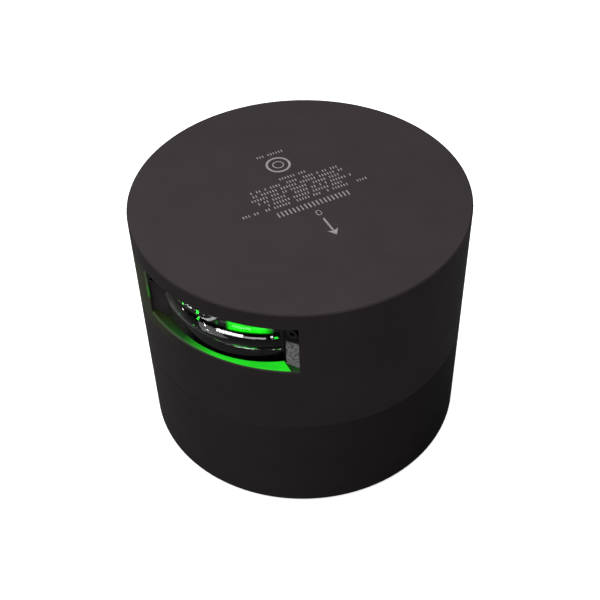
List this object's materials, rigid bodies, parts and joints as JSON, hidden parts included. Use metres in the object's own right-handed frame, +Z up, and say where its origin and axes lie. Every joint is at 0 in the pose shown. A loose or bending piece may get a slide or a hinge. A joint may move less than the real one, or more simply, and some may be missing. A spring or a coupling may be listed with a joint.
{
  "type": "marine LED sidelight",
  "caption": "Round two-tier marine LED sidelight in black anodised aluminium, with a recessed green sector window, a heading mark on top and a cable out of the base.",
  "frame": {"origin": "centre of the housing's base, on the mounting surface", "axes": "+X along the 0 degree heading mark (towards the bow), +Y to port, +Z up the housing's axis"},
  "size_m": [0.12, 0.1, 0.08],
  "materials": {
    "anodised_upper": "black hard-anodised, fine satin bead-blasted surface",
    "anodised_lower": "black hard-anodised, fine satin turned surface",
    "seal_rubber": "matte black nitrile",
    "stainless": "A4 stainless, plain",
    "black_steel": "stainless, chemically blackened",
    "mark_paint": "light grey paint in shallow engraving",
    "clear_acrylic": "clear polished acrylic",
    "board_white": "white solder mask on an aluminium core",
    "led_body": "white ceramic",
    "led_green": "clear silicone over a green emitter, lit",
    "black_plastic": "matte black, moulded",
    "thermal_pad": "soft grey-blue gap filler",
    "wire_red": "red silicone insulation",
    "wire_black": "black silicone insulation",
    "connector_ivory": "ivory nylon",
    "board_green": "green solder mask over glass-epoxy",
    "brass": "plain brass",
    "ferrite": "moulded ferrite powder",
    "capacitor_can": "drawn aluminium can",
    "chip_epoxy": "black moulded epoxy",
    "chip_ceramic": "fired ceramic",
    "copper": "bare tinned copper strands",
    "cable_jacket": "black polyurethane jacket",
    "membrane": "white expanded fluoropolymer film"
  },
  "bodies": {
    "root": {"lamp_housing": "anodised_upper", "driver_housing": "anodised_lower", "housing_seal": "seal_rubber", "alignment_pins": "stainless", "closing_screws": "stainless", "closing_screw_washers": "seal_rubber", "heading_mark": "mark_paint", "legend_marks": "mark_paint", "lens": "clear_acrylic", "lens_seal": "seal_rubber", "lens_retainer": "anodised_lower", "lens_clamp_screws": "black_steel", "clamp_screw_seals": "seal_rubber", "led_board": "board_white", "led_packages": "led_body", "led_domes": "led_green", "led_mask": "black_plastic", "led_board_screws": "stainless", "led_thermal_pad": "thermal_pad", "heat_spreader": "anodised_lower", "spreader_thermal_pad": "thermal_pad", "spreader_screws": "stainless", "led_lead_positive": "wire_red", "led_lead_negative": "wire_black", "led_connector": "connector_ivory", "driver_board": "board_green", "board_standoffs": "brass", "board_screws": "stainless", "power_inductors": "ferrite", "bulk_capacitors": "capacitor_can", "driver_chips": "chip_epoxy", "surge_diodes": "chip_epoxy", "chip_parts": "chip_ceramic", "supply_connector": "connector_ivory", "supply_lead_positive": "wire_red", "supply_lead_negative": "wire_black", "stripped_ends": "copper", "supply_cable": "cable_jacket", "cable_grommet": "seal_rubber", "cable_saddle": "stainless", "saddle_screws": "stainless", "vent_plug": "black_plastic", "vent_seal": "seal_rubber", "vent_membrane": "membrane"}
  },
  "joints": []
}
